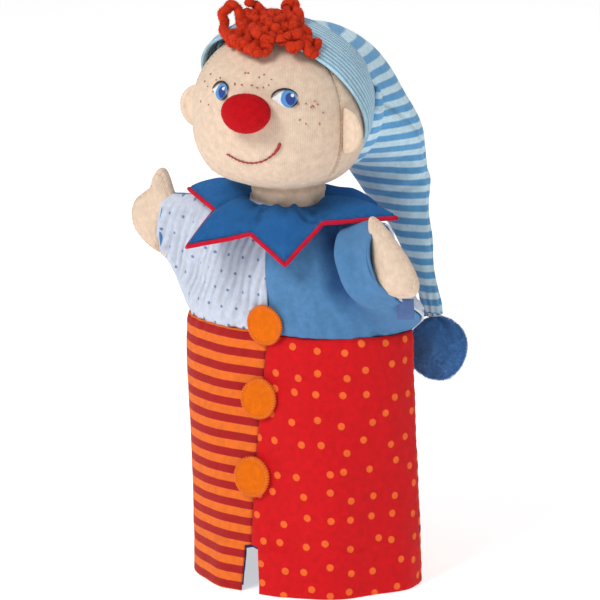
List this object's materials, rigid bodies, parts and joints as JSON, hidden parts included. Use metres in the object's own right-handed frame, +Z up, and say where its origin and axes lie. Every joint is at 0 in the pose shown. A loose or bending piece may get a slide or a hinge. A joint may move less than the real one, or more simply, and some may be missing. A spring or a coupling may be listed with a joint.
{
  "type": "hand puppet",
  "caption": "Glove puppet of a jester: lined two-tone tunic, mitten hands, stuffed round head with yarn curls, pointed cap with a hanging tail and pompom.",
  "frame": {"origin": "middle of the bottom of the bounding box, on the surface that the hem stands on", "axes": "+Z up, the puppet faces -Y, its own left side is +X"},
  "size_m": [0.2264, 0.1504, 0.3352],
  "materials": {
    "striped_cloth": "soft brushed cotton, dark red and orange stripes across",
    "dotted_red_cloth": "soft brushed cotton, red with small orange dots",
    "dotted_pale_cloth": "thin cotton, pale lavender with tiny blue dots",
    "blue_velour": "short pile velour, light blue",
    "lining_cloth": "plain woven cotton, dark blue",
    "felt": "wool felt with a stitched edge, orange",
    "ribbon": "plain woven ribbon, grey blue",
    "blue_plush": "short plush, mid blue",
    "red_piping": "corded piping, red",
    "jersey": "fine ribbed cotton jersey, beige",
    "stuffing": "polyester fibre filling, white",
    "red_plush": "short plush, red",
    "embroidery_blue": "satin stitch thread, blue and white",
    "embroidery_red": "stem stitch thread, dark red",
    "chenille": "thick chenille yarn, orange red",
    "pinstripe_knit": "knit band, light blue with fine darker stripes",
    "striped_jersey": "jersey, mid and pale blue stripes",
    "cardboard": "plain card tube"
  },
  "bodies": {
    "tunic": {"skirt_front_left": "dotted_red_cloth", "skirt_front_right": "striped_cloth", "skirt_back_left": "striped_cloth", "skirt_back_right": "dotted_red_cloth", "lining_left": "lining_cloth", "lining_right": "lining_cloth", "bodice_front_left": "blue_velour", "bodice_front_right": "dotted_pale_cloth", "bodice_back_left": "dotted_pale_cloth", "bodice_back_right": "blue_velour", "button_top": "felt", "button_middle": "felt", "button_bottom": "felt", "side_label": "ribbon", "collar": "blue_plush", "collar_lining": "blue_plush", "collar_piping": "red_piping"},
    "neck": {"neck_cover": "jersey", "neck_padding": "stuffing", "finger_tube": "cardboard"},
    "head": {"face_panel": "jersey", "head_back_panel": "jersey", "head_stuffing": "stuffing", "nose": "red_plush", "ear_left": "jersey", "ear_right": "jersey", "eye_left": "embroidery_blue", "eye_right": "embroidery_blue", "smile": "embroidery_red", "hair_curl_1": "chenille", "hair_curl_2": "chenille", "hair_curl_3": "chenille", "hair_curl_4": "chenille", "hair_curl_5": "chenille", "hair_curl_6": "chenille", "hair_curl_7": "chenille", "hair_curl_8": "chenille", "hair_curl_9": "chenille", "cap_band": "pinstripe_knit", "cap_crown": "striped_jersey"},
    "tail": {"cap_tail": "striped_jersey"},
    "pompom_ball": {"pompom": "blue_plush"},
    "arm_right": {"sleeve_right": "dotted_pale_cloth"},
    "arm_left": {"sleeve_left": "blue_velour"},
    "hand_right": {"hand_right_front": "jersey", "hand_right_back": "jersey"},
    "hand_left": {"hand_left_front": "jersey", "hand_left_back": "jersey"}
  },
  "joints": [
    {"name": "head_nod", "type": "hinge", "parent": "tunic", "child": "neck", "pos_m": [0.00551, -0.00628, 0.222], "axis": [1, 0, 0], "range_deg": [-4, 12]},
    {"name": "head_turn", "type": "hinge", "parent": "neck", "child": "head", "pos_m": [0.00551, -0.00628, 0.236], "axis": [0, 0, 1], "range_deg": [-4, 25]},
    {"name": "arm_right_raise", "type": "hinge", "parent": "tunic", "child": "arm_right", "pos_m": [-0.03649, 0.00571, 0.189], "axis": [0, 1, 0], "range_deg": [-15, 10]},
    {"name": "arm_left_raise", "type": "hinge", "parent": "tunic", "child": "arm_left", "pos_m": [0.04751, -0.00229, 0.189], "axis": [-0.5736, -0.8191, 0], "range_deg": [-18, 1]},
    {"name": "hand_right_bend", "type": "hinge", "parent": "arm_right", "child": "hand_right", "pos_m": [-0.08443, 0.00739, 0.19068], "axis": [0.2588, 0, 0.9659], "range_deg": [-15, 15]},
    {"name": "hand_left_bend", "type": "hinge", "parent": "arm_left", "child": "hand_left", "pos_m": [0.08549, -0.02888, 0.20142], "axis": [-0.4045, 0.2061, 0.891], "range_deg": [-15, 15]},
    {"name": "tail_swing", "type": "hinge", "parent": "head", "child": "tail", "pos_m": [0.03651, 0.05972, 0.226], "axis": [1, 0, 0], "range_deg": [0, 25]},
    {"name": "pompom_swing", "type": "hinge", "parent": "tail", "child": "pompom_ball", "pos_m": [0.06151, 0.05972, 0.145], "axis": [1, 0, 0], "range_deg": [0, 30]}
  ]
}
